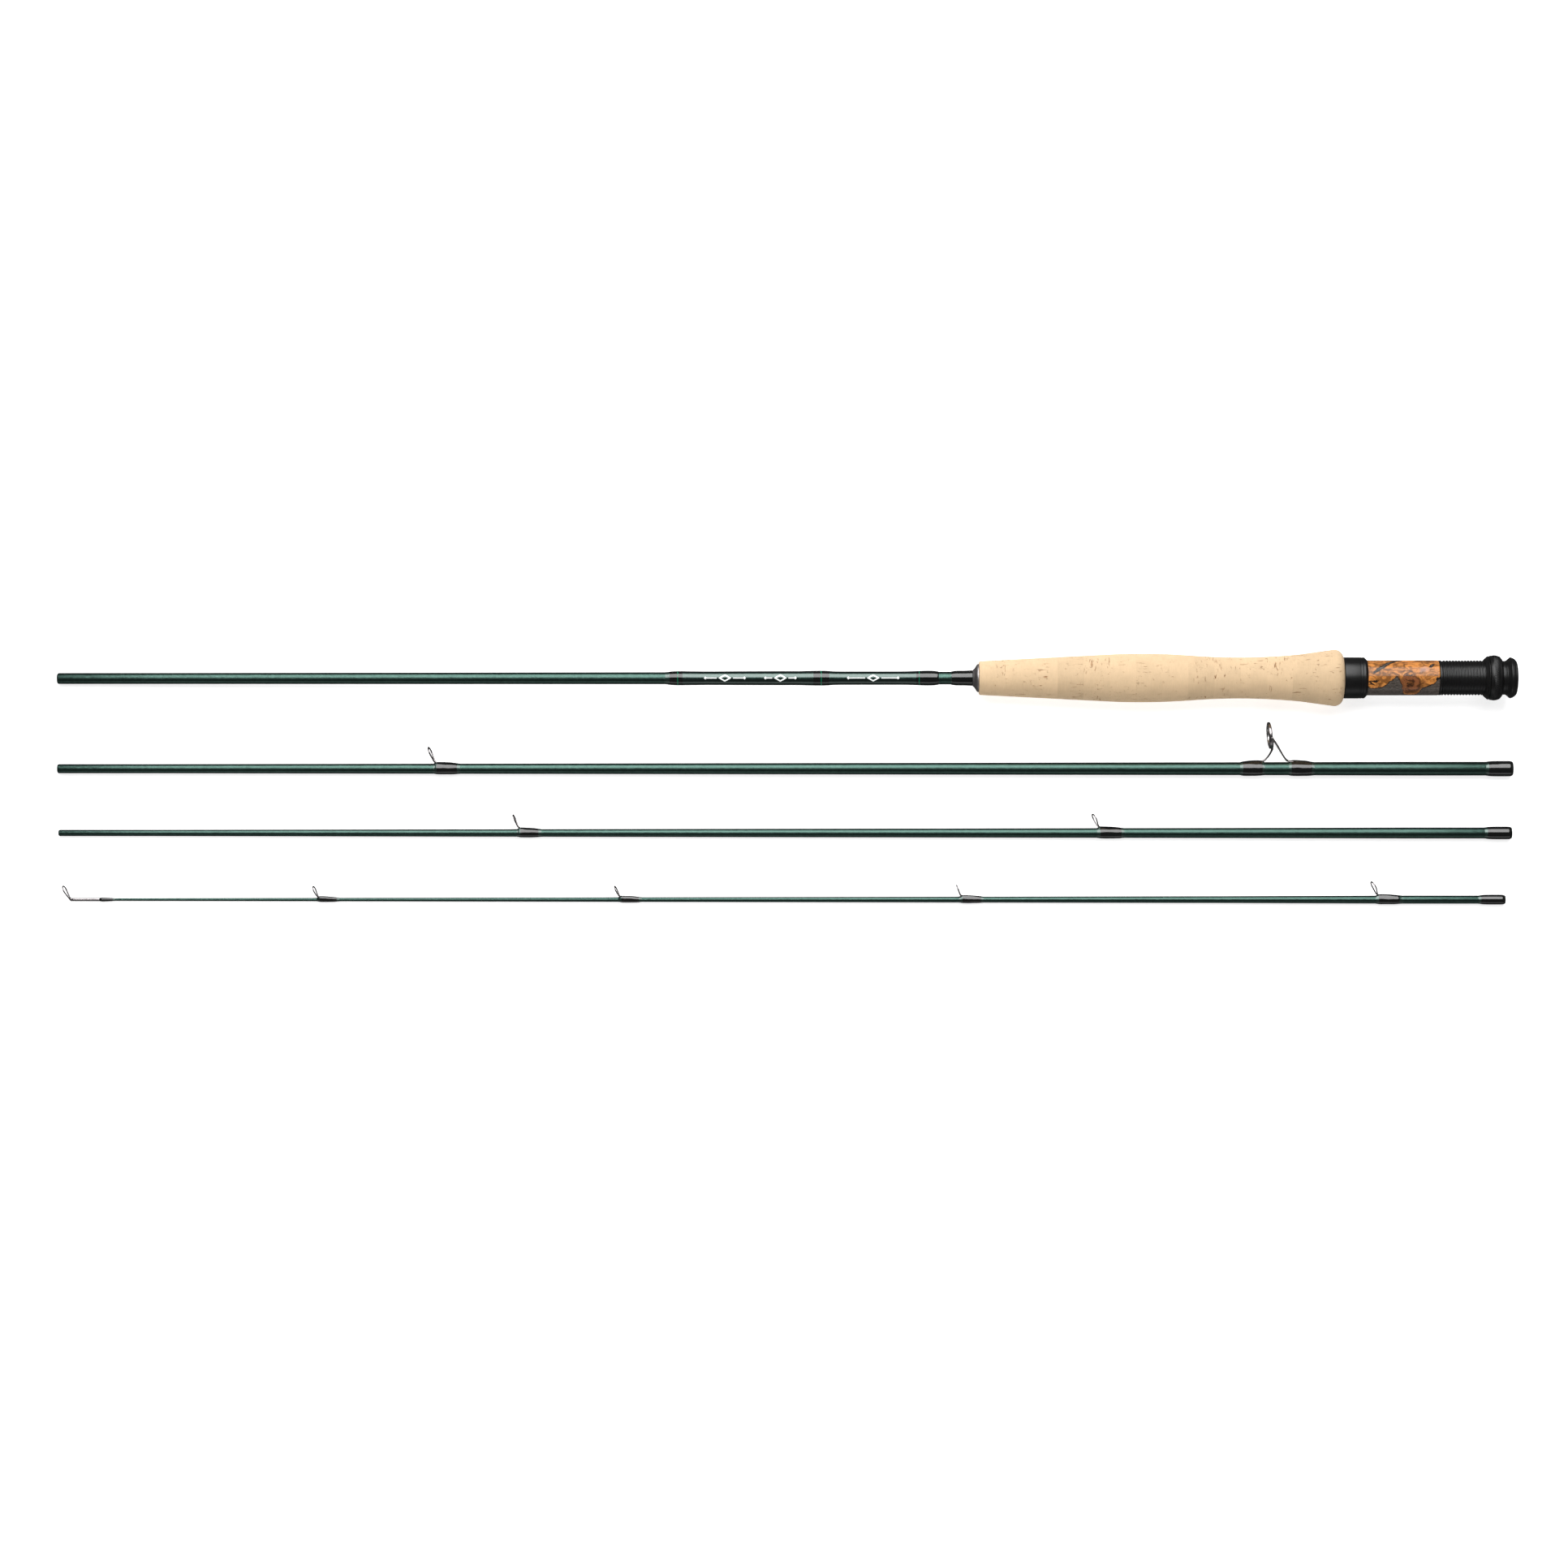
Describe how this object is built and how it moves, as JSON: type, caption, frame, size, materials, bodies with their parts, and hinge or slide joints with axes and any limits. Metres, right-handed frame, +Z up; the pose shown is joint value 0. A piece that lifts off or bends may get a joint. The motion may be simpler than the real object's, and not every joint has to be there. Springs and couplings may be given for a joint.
{
  "type": "fly rod",
  "caption": "Slender multi-piece fishing rod laid out taken apart: cork grip with reel seat, tapered blanks with line guides and push-fit ferrules.",
  "frame": {"origin": "centre of the laid-out rod's box, on the floor it lies on", "axes": "+X along the sections towards their butt ends, +Y across the rows towards the section with the grip, +Z up"},
  "size_m": [0.7244, 0.1266, 0.028],
  "materials": {
    "blank_finish": "dark green metallic lacquer over carbon fibre",
    "cork": "sanded cork",
    "burl_wood": "lacquered spalted burl",
    "arbor_foam": "rigid foam",
    "black_anodised": "satin black anodised",
    "dark_nickel": "dark polished nickel",
    "thread_wrap": "black thread under gloss epoxy",
    "trim_thread": "green thread under gloss epoxy",
    "clear_epoxy": "clear gloss epoxy over the lacquer",
    "ring_insert": "polished",
    "guide_wire": "polished hard chrome"
  },
  "bodies": {
    "butt_section": {"butt_blank": "blank_finish", "label_front_wrap": "thread_wrap", "label_middle_wrap": "thread_wrap", "label_rear_wrap": "thread_wrap", "grip_wrap": "thread_wrap", "trim_bands": "trim_thread", "label_coat": "clear_epoxy", "winding_check": "dark_nickel", "cork_ring_01": "cork", "cork_ring_02": "cork", "cork_ring_03": "cork", "cork_ring_04": "cork", "cork_ring_05": "cork", "cork_ring_06": "cork", "cork_ring_07": "cork", "cork_ring_08": "cork", "cork_ring_09": "cork", "cork_ring_10": "cork", "cork_ring_11": "cork", "cork_ring_12": "cork", "cork_ring_13": "cork", "cork_ring_14": "cork", "front_hood": "black_anodised", "seat_insert": "burl_wood", "seat_arbors": "arbor_foam", "seat_barrel": "black_anodised", "butt_cap": "black_anodised"},
    "lower_mid_section": {"lower_mid_blank": "blank_finish", "lower_mid_ferrule_wrap": "thread_wrap", "stripping_guide_ring": "ring_insert", "stripping_guide_frame": "dark_nickel", "stripping_front_wrap": "thread_wrap", "stripping_rear_wrap": "thread_wrap", "lower_mid_guide": "guide_wire", "lower_mid_guide_wrap": "thread_wrap"},
    "upper_mid_section": {"upper_mid_blank": "blank_finish", "upper_mid_ferrule_wrap": "thread_wrap", "upper_mid_guide_1": "guide_wire", "upper_mid_guide_1_wrap": "thread_wrap", "upper_mid_guide_2": "guide_wire", "upper_mid_guide_2_wrap": "thread_wrap"},
    "tip_section": {"tip_blank": "blank_finish", "tip_ferrule_wrap": "thread_wrap", "tip_guide_1": "guide_wire", "tip_guide_1_wrap": "thread_wrap", "tip_guide_2": "guide_wire", "tip_guide_2_wrap": "thread_wrap", "tip_guide_3": "guide_wire", "tip_guide_3_wrap": "thread_wrap", "tip_guide_4": "guide_wire", "tip_guide_4_wrap": "thread_wrap", "tip_top_tube": "guide_wire", "tip_top_ring": "guide_wire", "tip_top_wrap": "thread_wrap"},
    "sliding_hood_body": {"sliding_hood": "black_anodised"},
    "lock_nut_body": {"lock_nut": "black_anodised"}
  },
  "joints": [
    {"name": "hood_slide", "type": "slide", "parent": "butt_section", "child": "sliding_hood_body", "axis": [-0.9998, 0, -0.0177], "range_m": [0, 0.0197]},
    {"name": "lock_nut_turn", "type": "hinge", "parent": "sliding_hood_body", "child": "lock_nut_body", "pos_m": [0.35109, 0.04929, 0.01537], "axis": [-0.9998, 0, -0.0177], "range_deg": [0, 4680]},
    {"name": "lower_mid_lift", "type": "slide", "parent": "butt_section", "child": "lower_mid_section", "axis": [0, 0, 1], "range_m": [0, 0.15]},
    {"name": "upper_mid_lift", "type": "slide", "parent": "butt_section", "child": "upper_mid_section", "axis": [0, 0, 1], "range_m": [0, 0.15]},
    {"name": "tip_lift", "type": "slide", "parent": "butt_section", "child": "tip_section", "axis": [0, 0, 1], "range_m": [0, 0.15]}
  ],
  "couplings": [
    {"joint": "hood_slide", "follows": "lock_nut_turn", "m_per_rad": 0.00023873}
  ]
}
